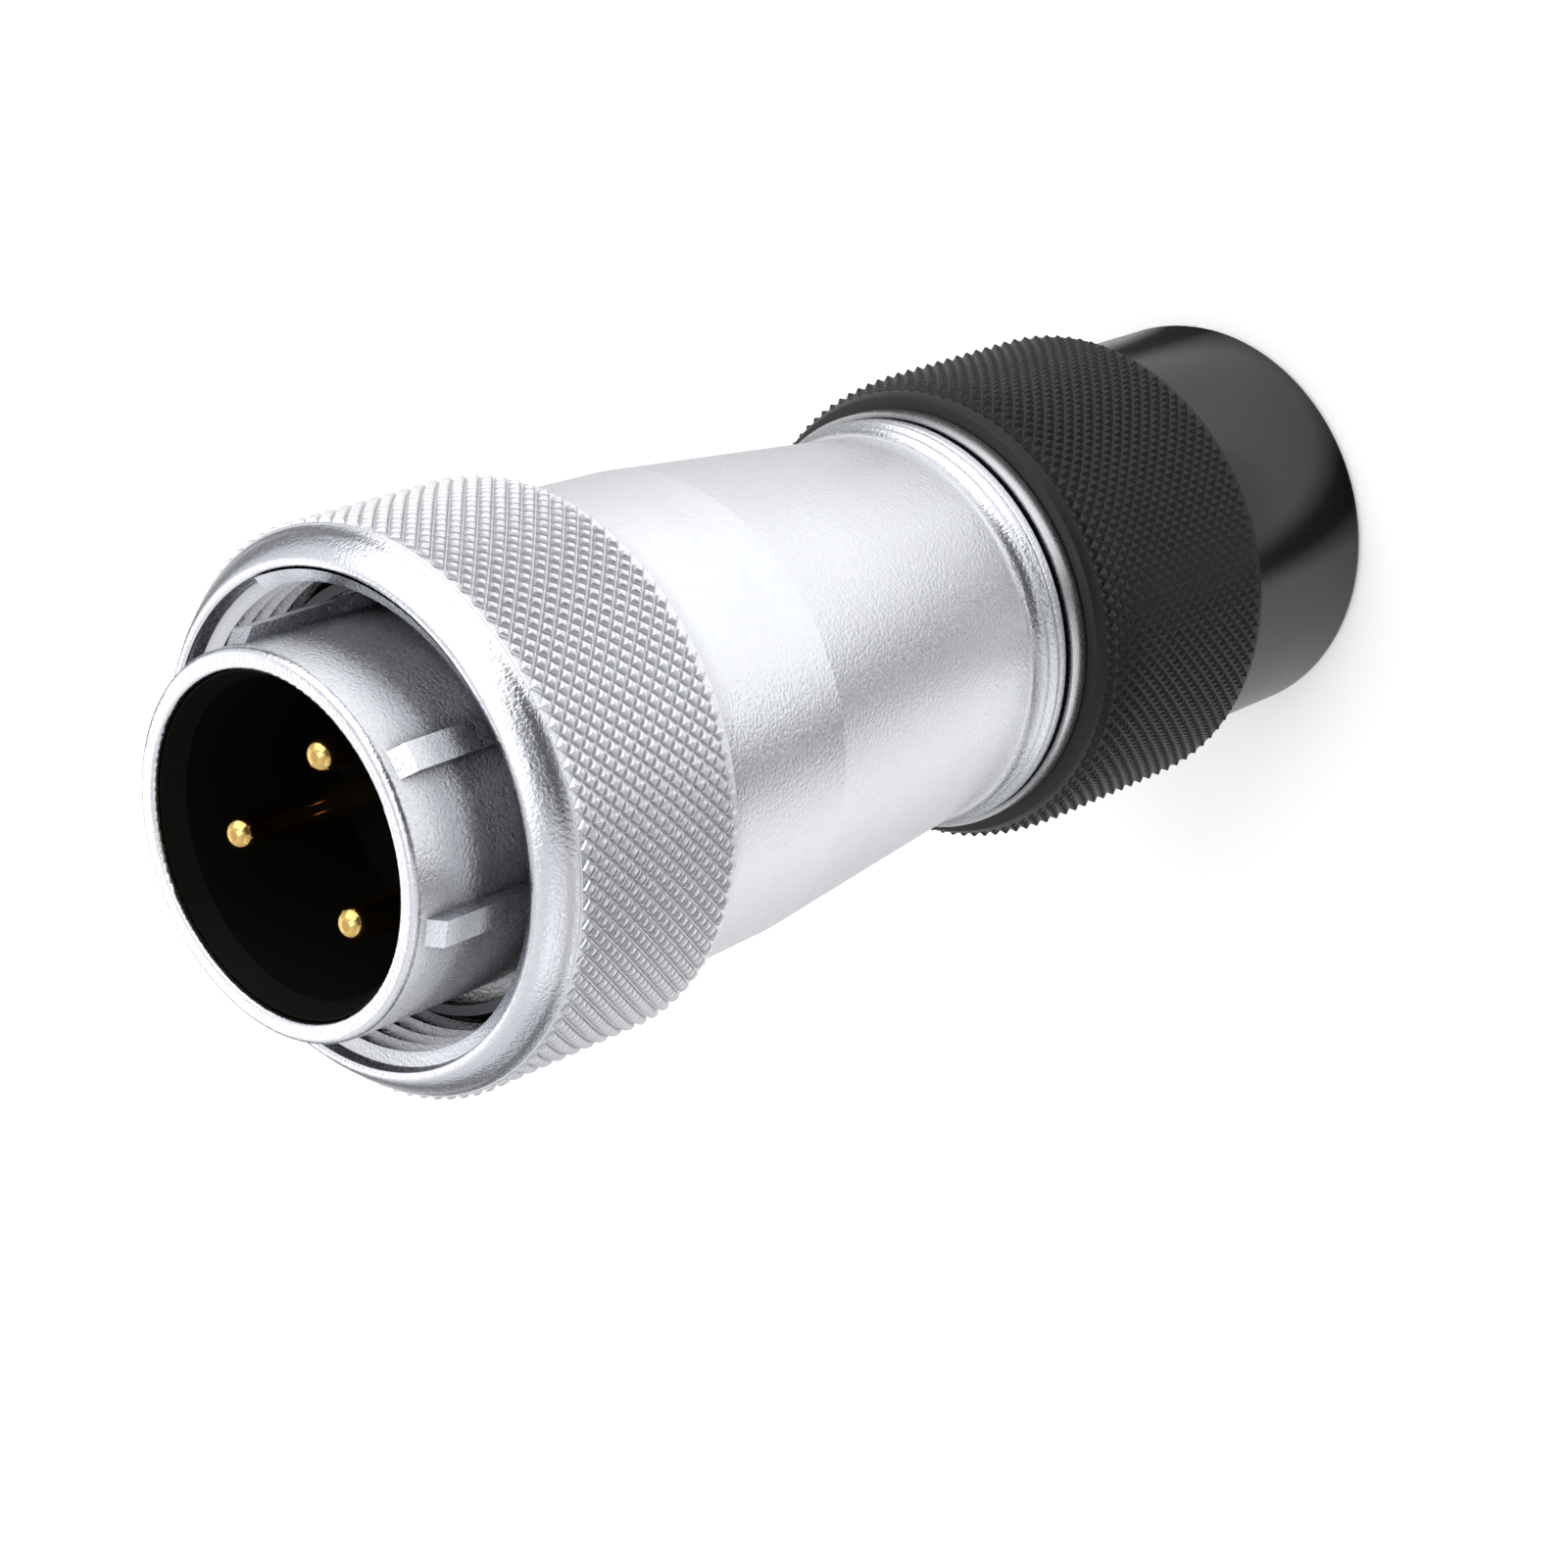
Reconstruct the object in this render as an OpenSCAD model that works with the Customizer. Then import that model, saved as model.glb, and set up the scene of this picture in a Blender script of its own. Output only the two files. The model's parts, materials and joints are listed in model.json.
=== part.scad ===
// Circular threaded power connector: cable plug with three pins.
// It stands on its outlet end. +Z runs from the cable outlet to the mating mouth.

/* [Overall] */
// Length from the outlet face to the mouth
total_len = 98; // [96:0.5:104]

/* [Front barrel] */
// Inner radius of the barrel
barrel_r = 11.5; // [11.2:0.1:11.6]
// Wall of the barrel
barrel_wall = 1.4; // [1.2:0.1:1.5]
// Depth from the mouth to the front of the flange
flange_depth = 12.5; // [11.5:0.5:13]
// Thickness of the flange that drives the coupling nut
flange_t = 3; // [2.5:0.5:4]
// Height of the flange above the barrel
flange_h = 2.3; // [2:0.1:2.6]
// Width of each polarising key
key_w = 1.9; // [1.4:0.1:2.4]
// Height of each polarising key above the barrel
key_h = 0.9; // [0.6:0.1:1.1]
// Distance from the mouth to the front of the keys
key_setback = 1; // [0.6:0.1:3]

/* [Insert and pins] */
// Thickness of the insert's skirt that lines the barrel
skirt_t = 0.8; // [0.6:0.1:1]
// Depth from the mouth to the insert's floor
cavity_depth = 15; // [14:0.5:16]
// Number of pins
pin_count = 3; // [2:1:5]
// Radius of the circle that the pins stand on
pin_circle_r = 6.3; // [5.6:0.1:6.8]
// Radius of a pin
pin_r = 1.25; // [1:0.05:1.3]
// Depth from the mouth to a pin's tip
pin_tip_depth = 1.75; // [1.5:0.05:4]
// Radius of a solder cup
cup_r = 1.7; // [1.6:0.05:2]
// Length of the solder cups behind the insert
cup_len = 7; // [5:0.5:9]

/* [Coupling nut] */
// Gap between the flange and the crests of the coupling thread
thread_gap = 0.4; // [0.3:0.05:0.6]
// Wall of the nut from thread crest to knurl
nut_wall = 3.7; // [3.4:0.1:4.2]
// Length of the nut
nut_len = 16.4; // [15.5:0.1:17]
// Depth from the mouth to the nut's front face
nut_setback = 6; // [5.5:0.1:7]
// Knurl teeth round the nut
nut_knurl_n = 72; // [60:4:72]
// Knurl half rows along the nut
nut_knurl_rows = 15; // [11:2:15]

/* [Rear shell] */
// Step from the coupling nut's knurl down to the shell
shell_step = 2.1; // [1.9:0.1:2.3]
// Length of the straight part behind the coupling nut
shell_straight = 12; // [8:1:16]
// Height of the end collar above the outer thread
collar_h = 1.2; // [1:0.1:1.4]
// Height of the end collar above the small end of the taper
collar_step = 0.8; // [0.6:0.1:1]
// Thickness of the end collar
collar_t = 1.5; // [1.2:0.1:2]
// Wall of the shell
shell_wall = 1.8; // [1.5:0.1:2]
// Length of the outer thread that carries the clamping nut
tail_thread_len = 14; // [12:0.5:15]
// Radius of the outer thread
tail_thread_r = 14; // [13.8:0.1:14.1]

/* [Clamping nut and outlet] */
// Wall of the clamping nut round the thrust washer
gland_wall = 2.1; // [1.9:0.1:2.6]
// Length of the clamping nut
gland_len = 20.6; // [20:0.1:21.5]
// Knurl teeth round the clamping nut
gland_knurl_n = 76; // [64:4:76]
// Knurl half rows along the clamping nut
gland_knurl_rows = 18; // [14:2:18]
// Depth of both knurls
knurl_depth = 0.6; // [0.4:0.05:0.7]
// Length of the smooth outlet sleeve
sleeve_len = 15.6; // [14:0.1:18]
// Step from the clamping nut's knurl down to the sleeve
sleeve_step = 2.2; // [1.8:0.1:2.6]
// Radius of the cable outlet
outlet_r = 9; // [8:0.5:10]
// Radius of the hole through the cable grommet
grommet_hole_r = 6.5; // [4:0.5:7]
// Length of the cable grommet
grommet_len = 9; // [7:0.5:9.5]
// Width of the thrust washer in the clamping nut's mouth
washer_w = 1.5; // [1.3:0.1:1.8]

/* [Fits] */
// Gap round a part that is seated in another
seat_gap = 0.1; // [0.05:0.05:0.15]
// Gap between parts that turn on each other
run_gap = 0.3; // [0.25:0.05:0.35]

/* [Hidden] */
$fn = 96;

// The rib that stops the insert from turning
insert_key_w = 2;
insert_key_h = 0.5;
insert_key_len = 4;

// Directions of the keys and of the first pin, in degrees from +X
key_angles = [-10, -80, -128, 132, 62];
first_pin_angle = -45;

// Heights, from the mouth down
z_mouth = total_len;
z_flange = z_mouth - flange_depth;
z_flange_back = z_flange - flange_t;
z_nut_front = z_mouth - nut_setback;
z_nut_back = z_nut_front - nut_len;
slip_t = 0.5;
lip_t = 2.2;
z_lip_front = z_flange_back - slip_t - 2 * run_gap;
z_lip_back = z_lip_front - lip_t;
z_shell_front = z_lip_back - run_gap;
z_cavity = z_mouth - cavity_depth;

// Barrel, its flange and its neck
barrel_out_r = barrel_r + barrel_wall;
flange_r = barrel_out_r + flange_h;
neck_r = barrel_out_r + 1.1;
joint_thread_r = neck_r - 0.7;
insert_seat_r = barrel_r + 0.6;
joint_len = 12;
z_barrel_end = z_shell_front - joint_len;
o_ring_r = 0.35;
o_groove_w = 0.9;
z_o_groove = z_barrel_end + 1.5;

// Coupling nut, and the shell nose inside its rear skirt
thread_r = flange_r + thread_gap;
nut_r = thread_r + nut_wall;
shell_front_r = nut_r - shell_step;

// Insert: a cup in front, a plain disc behind, and the contact collars between them
z_insert_step = z_cavity - 4;
z_insert_split = z_insert_step - 2.5;
rear_insert_t = 3;
z_rear_insert = z_insert_split - rear_insert_t;
seal_t = 0.5;
lock_ring_t = 2;
collar_pin_t = 1;
collar_pin_r = cup_r + 0.6;
pin_root = 0.3;

// Tail: collar, thrust washer, clamping nut and sleeve
collar_r = tail_thread_r + collar_h;
shell_rear_r = collar_r - collar_step;
washer_r = tail_thread_r + seat_gap + washer_w;
gland_r = washer_r + gland_wall;
sleeve_r = gland_r - sleeve_step;
z_gland_back = sleeve_len;
z_gland_front = z_gland_back + gland_len;
washer_t = 1.5;
washer_recess = 0.9;
z_washer = z_gland_front - washer_recess;
collar_seal_t = 0.3;
z_collar = z_washer + washer_t + collar_seal_t;
z_tail = z_collar - tail_thread_len;
grommet_seat_t = 1;
grommet_washer_t = 1.2;
tail_bore_r = tail_thread_r - shell_wall;
throat_r = tail_bore_r - 2;
z_grommet = z_tail + 0.8;
z_throat = z_grommet + grommet_len + grommet_seat_t + seat_gap;
lip_len = 2.5;
trap_h = 1.7;
trap_t = 2.3;
inner_thread_r = tail_thread_r + run_gap;
lip_bore_r = inner_thread_r - trap_h;
z_shoulder = z_grommet - grommet_washer_t - 2 * seat_gap;

// Radii of the nut's rear skirt and of the shell nose inside it
nose_r = shell_front_r - 0.4;
skirt_r = nose_r + run_gap;
nose_len = z_shell_front - z_nut_back + 0.8;

// A round of radius r on a turned profile, centred at that radius and height
module edge_round(at, r) {
    translate(at)
        circle(r = r);
}

// A ring of rectangular section
module ring(r_in, r_out, z0, z1) {
    translate([0, 0, z0])
        difference() {
            cylinder(r = r_out, h = z1 - z0);
            translate([0, 0, -1])
                cylinder(r = r_in, h = z1 - z0 + 2);
        }
}

// An O-ring of round section
module o_ring(r_centre, r_section, z) {
    translate([0, 0, z])
        rotate_extrude()
            translate([r_centre, 0])
                circle(r = r_section, $fn = 32);
}

// A diamond knurl between two heights: raised peaks and crossing grooves, as a closed band.
// Each row holds n peaks and n valleys, and neighbouring rows are half a tooth apart.
module knurl_band(r_peak, depth, r_in, z0, z1, n, rows) {
    m = 2 * n;
    step = (z1 - z0) / rows;
    function at(r, i, z) = [r * cos(360 * i / m), r * sin(360 * i / m), z];
    function surface_r(i, j) = j == 0 || j == rows ? r_peak - depth : r_peak - ((i + j) % 2) * depth;
    outer = [for (j = [0:rows], i = [0:m - 1]) at(surface_r(i, j), i, z0 + j * step)];
    inner = [for (z = [z0, z1], i = [0:m - 1]) at(r_in, i, z)];
    base = m * (rows + 1);
    skin = [for (j = [0:rows - 1], i = [0:m - 1])
                let (a = j * m + i, b = j * m + (i + 1) % m, c = a + m, d = b + m)
                    each ((i + j) % 2 == 0 ? [[a, c, d], [a, d, b]] : [[a, c, b], [b, c, d]])];
    bore = [for (i = [0:m - 1])
                let (a = base + i, b = base + (i + 1) % m, c = a + m, d = b + m)
                    each [[a, d, c], [a, b, d]]];
    foot = [for (i = [0:m - 1])
                let (a = i, b = (i + 1) % m, c = base + i, d = base + (i + 1) % m)
                    each [[a, b, d], [a, d, c]]];
    top = m * rows;
    head = [for (i = [0:m - 1])
                let (a = top + i, b = top + (i + 1) % m, c = base + m + i, d = base + m + (i + 1) % m)
                    each [[a, d, b], [a, c, d]]];
    polyhedron(points = concat(outer, inner), faces = concat(skin, bore, foot, head), convexity = 6);
}

// One polarising key along the barrel, chamfered at its front
module key(angle) {
    front = z_mouth - key_setback;
    rotate([0, 0, angle])
        intersection() {
            rotate_extrude()
                polygon([[barrel_out_r - 0.3, z_flange - 0.5],
                         [barrel_out_r + key_h, z_flange - 0.5],
                         [barrel_out_r + key_h, front - key_h],
                         [barrel_out_r - 0.3, front + 0.3]]);
            translate([barrel_r, -key_w / 2, z_flange - 1])
                cube([flange_r, key_w, front - z_flange + 2]);
        }
}

module plug_shell() {
    rim = 0.5;
    color("silver")
        difference() {
            union() {
                rotate_extrude() {
                    polygon([[barrel_r - 1, z_mouth - rim],
                             [barrel_out_r, z_mouth - rim],
                             [barrel_out_r, z_flange],
                             [flange_r - rim, z_flange],
                             [flange_r, z_flange - rim],
                             [flange_r, z_flange_back],
                             [neck_r, z_flange_back],
                             [neck_r, z_shell_front],
                             [joint_thread_r, z_shell_front],
                             [joint_thread_r, z_barrel_end + rim],
                             [joint_thread_r - rim, z_barrel_end],
                             [barrel_r - 1, z_barrel_end]]);
                    translate([barrel_r + rim / 2, z_mouth - 2 * rim])
                        square([barrel_wall - 3 * rim / 2, 2 * rim]);
                    edge_round([barrel_out_r - rim, z_mouth - rim], rim);
                    edge_round([barrel_r + rim / 2, z_mouth - rim / 2], rim / 2);
                    translate([barrel_r, z_mouth - 2 * rim])
                        square([rim, 3 * rim / 2]);
                }
                for (a = key_angles)
                    key(a);
            }
            translate([0, 0, z_barrel_end - 1])
                cylinder(r = barrel_r, h = z_mouth - z_barrel_end + 2);
            translate([0, 0, z_barrel_end - 1])
                cylinder(r = insert_seat_r, h = z_insert_step - z_barrel_end + 1);
            ring(joint_thread_r - 2 * o_ring_r - seat_gap, neck_r + 1, z_o_groove, z_o_groove + o_groove_w);
            translate([0, insert_seat_r, z_insert_step - insert_key_len / 2])
                cube([insert_key_w + 2 * seat_gap, 2 * insert_key_h + 2 * seat_gap, insert_key_len + 1],
                     center = true);
        }
}

// Pin number i, turned to its place
module at_pin(i) {
    rotate([0, 0, first_pin_angle + 360 * i / pin_count])
        translate([pin_circle_r, 0, 0])
            children();
}

module front_insert() {
    skirt_gap = 0.5;
    skirt_chamfer = 1.5;
    skirt_out_r = barrel_r - seat_gap;
    flange_out_r = insert_seat_r - seat_gap;
    step = z_insert_step - seat_gap - seal_t;
    color("#1c1c1c")
        difference() {
            union() {
                translate([0, 0, z_insert_split])
                    cylinder(r = flange_out_r, h = step - z_insert_split);
                translate([0, 0, z_insert_split])
                    cylinder(r = skirt_out_r, h = z_mouth - skirt_gap - z_insert_split);
                translate([0, insert_seat_r, (step + z_insert_split) / 2])
                    cube([insert_key_w, 2 * insert_key_h, step - z_insert_split], center = true);
            }
            translate([0, 0, z_cavity])
                cylinder(r = skirt_out_r - skirt_t, h = cavity_depth);
            // The skirt thins towards the mouth
            translate([0, 0, z_mouth - skirt_gap - skirt_chamfer])
                cylinder(r1 = skirt_out_r - skirt_t, r2 = skirt_out_r - 0.1, h = skirt_chamfer + 0.01);
            for (i = [0:pin_count - 1])
                at_pin(i) {
                    translate([0, 0, z_insert_split - 1])
                        cylinder(r = pin_r + pin_root + seat_gap, h = z_cavity - z_insert_split + 2);
                    translate([0, 0, z_insert_split - 1])
                        cylinder(r = collar_pin_r + seat_gap, h = collar_pin_t + seat_gap + 1);
                }
        }
}

module rear_insert() {
    color("#262626")
        difference() {
            translate([0, 0, z_rear_insert])
                cylinder(r = insert_seat_r - seat_gap, h = rear_insert_t - seat_gap);
            for (i = [0:pin_count - 1])
                at_pin(i)
                    translate([0, 0, z_rear_insert - 1])
                        cylinder(r = cup_r + seat_gap, h = rear_insert_t + 2);
        }
}

module face_gasket() {
    color("#4a4a4a")
        ring(barrel_out_r + key_h + 0.2, flange_r - 0.5, z_flange + 0.02, z_flange + 0.5);
}

module insert_seal() {
    color("#303030")
        ring(barrel_r - seat_gap + 0.1, insert_seat_r - seat_gap, z_insert_step - seal_t - seat_gap / 2,
             z_insert_step - seat_gap / 2);
}

// A turned contact: round nose, shank with a small root cone, locating collar and a cut-away solder cup
module pin_contact(i) {
    z_nose = z_mouth - pin_tip_depth - pin_r;
    z_collar_top = z_insert_split + collar_pin_t;
    z_cup_end = z_rear_insert - cup_len;
    cup_bore_r = cup_r - 0.4;
    cup_depth = cup_len - 1;
    color("gold")
        at_pin(i)
            difference() {
                union() {
                    translate([0, 0, z_nose])
                        sphere(r = pin_r);
                    rotate_extrude()
                        polygon([[0, z_nose],
                                 [pin_r, z_nose],
                                 [pin_r, z_cavity + pin_root],
                                 [pin_r + pin_root, z_cavity],
                                 [pin_r + pin_root, z_collar_top],
                                 [collar_pin_r, z_collar_top],
                                 [collar_pin_r, z_insert_split],
                                 [cup_r, z_insert_split],
                                 [cup_r, z_cup_end],
                                 [0, z_cup_end]]);
                }
                translate([0, 0, z_cup_end - 1])
                    cylinder(r = cup_bore_r, h = cup_depth + 1);
                translate([0, -cup_r - 1, z_cup_end - 1])
                    cube([cup_r + 1, 2 * cup_r + 2, cup_depth - 0.5]);
            }
}

// A slotted threaded ring that holds the insert in the barrel
module insert_lock_ring() {
    slot_w = 1.6;
    z0 = z_rear_insert - lock_ring_t - seat_gap;
    color("#b8a878")
        difference() {
            ring(insert_seat_r - 2.6, insert_seat_r - seat_gap, z0, z0 + lock_ring_t);
            for (a = [0, 90])
                rotate([0, 0, a])
                    translate([-insert_seat_r, -slot_w / 2, z0 - 1])
                        cube([2 * insert_seat_r, slot_w, 1.8]);
        }
}

module shell_o_ring() {
    color("#202020")
        o_ring(joint_thread_r - o_ring_r - seat_gap / 2, o_ring_r, z_o_groove + o_groove_w / 2);
}

module coupling_nut() {
    front_cone = 1.6;
    band_front = z_nut_front - front_cone - 0.5;
    band_back = z_nut_back + 0.2;
    core_r = nut_r - knurl_depth - 0.1;
    land_r = nut_r - 0.7;
    color("gainsboro")
        difference() {
            union() {
                rotate_extrude()
                    polygon([[thread_r - 2, z_nut_front],
                             [land_r - front_cone, z_nut_front],
                             [land_r - 0.3, z_nut_front - front_cone + 0.2],
                             [land_r, z_nut_front - front_cone - 0.2],
                             [land_r, band_front - 0.1],
                             [core_r, band_front - 0.2],
                             [core_r, band_back + 0.2],
                             [land_r + 0.2, band_back + 0.1],
                             [land_r, z_nut_back],
                             [thread_r - 2, z_nut_back]]);
                knurl_band(nut_r, knurl_depth, core_r - 0.8, band_back, band_front,
                           nut_knurl_n, nut_knurl_rows);
            }
            // Thread bore with its lead-in, relief behind the thread, lip bore and rear skirt
            translate([0, 0, z_lip_front])
                cylinder(r = thread_r, h = z_nut_front - z_lip_front + 1);
            translate([0, 0, z_nut_front - 0.9])
                cylinder(r1 = thread_r, r2 = thread_r + 1, h = 1);
            ring(thread_r - 1, thread_r + 0.9, z_lip_front, z_lip_front + 2);
            translate([0, 0, z_lip_back - 1])
                cylinder(r = neck_r + run_gap, h = lip_t + 2);
            translate([0, 0, z_nut_back - 1])
                cylinder(r = skirt_r, h = z_lip_back - z_nut_back + 1);
        }
}

module nut_slip_ring() {
    z0 = z_flange_back - slip_t - seat_gap;
    color("#8c8c8c")
        ring(neck_r + seat_gap, flange_r - 0.1, z0, z0 + slip_t);
}

// The tapered back shell, with a filleted collar and a threaded tail
module rear_shell() {
    fillet = 1.6;
    z_taper_front = z_shell_front - nose_len;
    z_taper_back = z_collar + collar_t + fillet;
    bore_r = joint_thread_r + seat_gap;
    inner_front_r = shell_front_r - shell_wall;
    color("silver")
        difference() {
            rotate_extrude() {
                polygon([[0, z_shell_front],
                         [nose_r - 0.3, z_shell_front],
                         [nose_r, z_shell_front - 0.3],
                         [nose_r, z_taper_front],
                         [shell_front_r, z_taper_front - 0.4],
                         [shell_front_r - 0.4, z_taper_front - shell_straight],
                         [shell_rear_r, z_taper_back],
                         [shell_rear_r, z_collar + collar_t],
                         [collar_r - 0.3, z_collar + collar_t],
                         [collar_r, z_collar + collar_t - 0.3],
                         [collar_r, z_collar + collar_t / 2 + 0.15],
                         [collar_r - 0.2, z_collar + collar_t / 2],
                         [collar_r, z_collar + collar_t / 2 - 0.15],
                         [collar_r, z_collar],
                         [tail_thread_r, z_collar],
                         [tail_thread_r, z_tail + 0.6],
                         [tail_thread_r - 0.6, z_tail],
                         [0, z_tail]]);
                // Concave fillet that runs out into the collar
                difference() {
                    translate([shell_rear_r - 1, z_collar + collar_t])
                        square([collar_r - shell_rear_r + 0.7, fillet]);
                    edge_round([shell_rear_r + fillet - 0.05, z_taper_back], fillet);
                }
            }
            translate([0, 0, z_barrel_end - seat_gap])
                cylinder(r = bore_r, h = joint_len + 1);
            // Hollow that follows the taper
            rotate_extrude()
                polygon([[0, z_barrel_end],
                         [bore_r - 0.6, z_barrel_end],
                         [shell_rear_r - shell_wall, z_taper_back + 2],
                         [throat_r, z_taper_back - 1],
                         [throat_r, z_throat - 1],
                         [0, z_throat - 1]]);
            translate([0, 0, z_tail - 1])
                cylinder(r = throat_r, h = z_taper_back - z_tail);
            translate([0, 0, z_tail - 1])
                cylinder(r = tail_bore_r, h = z_throat - z_tail + 1);
        }
}

module collar_seal() {
    color("#181818")
        ring(tail_thread_r + seat_gap, collar_r - 0.3, z_washer + washer_t + 0.02, z_collar - 0.02);
}

module thrust_washer() {
    color("#e6e8ea")
        difference() {
            ring(tail_thread_r + seat_gap, washer_r, z_washer, z_washer + washer_t);
            for (a = [0, 180])
                rotate([0, 0, a])
                    translate([tail_thread_r - 0.5, -1, z_washer - 1])
                        cube([1, 2, washer_t + 2]);
        }
}

module grommet_seat() {
    color("#9a9a9a")
        ring(grommet_hole_r + 0.8, tail_bore_r - seat_gap, z_grommet + grommet_len + seat_gap / 2,
             z_grommet + grommet_len + grommet_seat_t);
}

// A rubber sleeve with a tapered rear end, squeezed onto the cable
module cable_grommet() {
    color("#151515")
        rotate_extrude()
            polygon([[grommet_hole_r, z_grommet],
                     [tail_bore_r - 1.4, z_grommet],
                     [tail_bore_r - seat_gap, z_grommet + 2],
                     [tail_bore_r - seat_gap, z_grommet + grommet_len],
                     [grommet_hole_r, z_grommet + grommet_len]]);
}

module grommet_washer() {
    color("#b0b0b0")
        ring(grommet_hole_r + 1, tail_bore_r - seat_gap, z_grommet - grommet_washer_t - seat_gap,
             z_grommet - seat_gap);
}

// The nut that pulls the outlet sleeve against the grommet; its rear lip traps the sleeve's flange
module clamping_nut() {
    chamfer = 1.3;
    band_front = z_gland_front - chamfer - 0.5;
    band_back = z_gland_back + 0.6;
    core_r = gland_r - knurl_depth - 0.1;
    color("#222222")
        difference() {
            union() {
                rotate_extrude()
                    polygon([[outlet_r, z_gland_front],
                             [gland_r - chamfer - 0.2, z_gland_front],
                             [gland_r - 0.5, band_front + 0.2],
                             [core_r, band_front - 0.3],
                             [core_r, band_back + 0.3],
                             [gland_r - 0.6, band_back + 0.1],
                             [gland_r - 1.2, z_gland_back],
                             [outlet_r, z_gland_back]]);
                knurl_band(gland_r, knurl_depth, core_r - 0.8, band_back, band_front,
                           gland_knurl_n, gland_knurl_rows);
            }
            // Washer recess, inner thread and the bore of the rear lip
            translate([0, 0, z_washer - seat_gap])
                cylinder(r = washer_r + run_gap, h = washer_recess + 1);
            translate([0, 0, z_gland_back + lip_len])
                cylinder(r = inner_thread_r, h = gland_len);
            translate([0, 0, z_gland_back - 1])
                cylinder(r = lip_bore_r, h = lip_len + 2);
        }
}

// The smooth outlet: its neck passes the nut's lip, its flange is trapped and its nose presses the grommet
module outlet_sleeve() {
    edge = 0.8;
    z_trap = z_gland_back + lip_len + seat_gap;
    color("#101010")
        difference() {
            rotate_extrude() {
                polygon([[outlet_r - 1, 0],
                         [sleeve_r - edge, 0],
                         [sleeve_r - edge, edge],
                         [sleeve_r, edge],
                         [sleeve_r, z_gland_back - seat_gap - 0.3],
                         [sleeve_r - 0.3, z_gland_back - seat_gap],
                         [lip_bore_r - run_gap, z_gland_back - seat_gap],
                         [lip_bore_r - run_gap, z_trap],
                         [inner_thread_r - run_gap, z_trap],
                         [inner_thread_r - run_gap, z_trap + trap_t],
                         [tail_bore_r - run_gap, z_trap + trap_t],
                         [tail_bore_r - run_gap, z_shoulder],
                         [outlet_r - 1, z_shoulder]]);
                edge_round([sleeve_r - edge, edge], edge);
            }
            translate([0, 0, -1])
                cylinder(r = outlet_r, h = z_shoulder + 2);
            translate([0, 0, -0.01])
                cylinder(r1 = outlet_r + 1.2, r2 = outlet_r, h = 1.2);
        }
}

plug_shell();
front_insert();
rear_insert();
insert_seal();
face_gasket();
pin_contact(0);  // pin_contact_1
pin_contact(1);  // pin_contact_2
pin_contact(2);  // pin_contact_3
insert_lock_ring();
shell_o_ring();
coupling_nut();
nut_slip_ring();
rear_shell();
collar_seal();
thrust_washer();
grommet_seat();
cable_grommet();
grommet_washer();
clamping_nut();
outlet_sleeve();
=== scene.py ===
"""Looks of a circular power connector plug, built over its fixed CAD frame."""

import json
import logging
import math
from dataclasses import dataclass
from enum import Enum
from typing import ClassVar

import bpy
from mathutils import Matrix, Vector

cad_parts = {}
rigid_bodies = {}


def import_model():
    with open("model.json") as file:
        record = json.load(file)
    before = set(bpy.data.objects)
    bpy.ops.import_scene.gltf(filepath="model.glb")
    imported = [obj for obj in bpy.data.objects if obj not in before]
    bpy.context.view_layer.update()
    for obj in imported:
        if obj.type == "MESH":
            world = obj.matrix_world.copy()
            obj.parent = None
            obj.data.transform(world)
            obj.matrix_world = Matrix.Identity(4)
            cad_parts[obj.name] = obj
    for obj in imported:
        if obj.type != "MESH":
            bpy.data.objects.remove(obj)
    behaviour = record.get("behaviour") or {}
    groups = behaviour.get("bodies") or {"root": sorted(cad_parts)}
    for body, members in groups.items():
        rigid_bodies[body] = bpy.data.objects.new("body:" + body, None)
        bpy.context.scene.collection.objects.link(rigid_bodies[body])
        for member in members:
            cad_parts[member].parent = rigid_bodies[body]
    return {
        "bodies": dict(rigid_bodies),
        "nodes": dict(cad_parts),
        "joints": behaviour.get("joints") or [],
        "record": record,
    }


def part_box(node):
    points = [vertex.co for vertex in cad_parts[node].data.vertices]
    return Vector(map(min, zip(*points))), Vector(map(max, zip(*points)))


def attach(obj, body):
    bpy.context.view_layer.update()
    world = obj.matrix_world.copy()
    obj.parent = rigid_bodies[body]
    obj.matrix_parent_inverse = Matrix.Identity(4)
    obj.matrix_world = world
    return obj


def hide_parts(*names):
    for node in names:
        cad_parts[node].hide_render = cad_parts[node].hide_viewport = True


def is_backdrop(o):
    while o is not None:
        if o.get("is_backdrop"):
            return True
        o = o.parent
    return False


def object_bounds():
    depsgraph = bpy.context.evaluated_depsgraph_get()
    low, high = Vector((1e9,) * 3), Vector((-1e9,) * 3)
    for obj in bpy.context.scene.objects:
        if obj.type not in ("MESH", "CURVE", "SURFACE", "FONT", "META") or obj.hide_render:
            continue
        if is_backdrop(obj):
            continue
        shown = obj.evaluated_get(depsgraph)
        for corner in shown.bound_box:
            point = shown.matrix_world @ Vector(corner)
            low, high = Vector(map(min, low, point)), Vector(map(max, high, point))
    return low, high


MM = 0.001
# Sockets of a Mix node that mixes colours.
MIX_FACTOR, MIX_A, MIX_B, MIX_RESULT = 0, 6, 7, 2
# How far the clamping nut's front stands back, so that the thrust washer's rim shows, in millimetres.
WASHER_SHOWS = 1.0
LOG = logging.getLogger("connector")


class KnurlStyle(Enum):
    """How each diamond of a knurl is finished."""

    BEADED = "beaded"
    PEAKED = "peaked"


class Shade(Enum):
    """How a finished piece is shaded: smooth up to this angle in degrees."""

    FLAT = 0.0
    TURNED = 32.0


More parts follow.
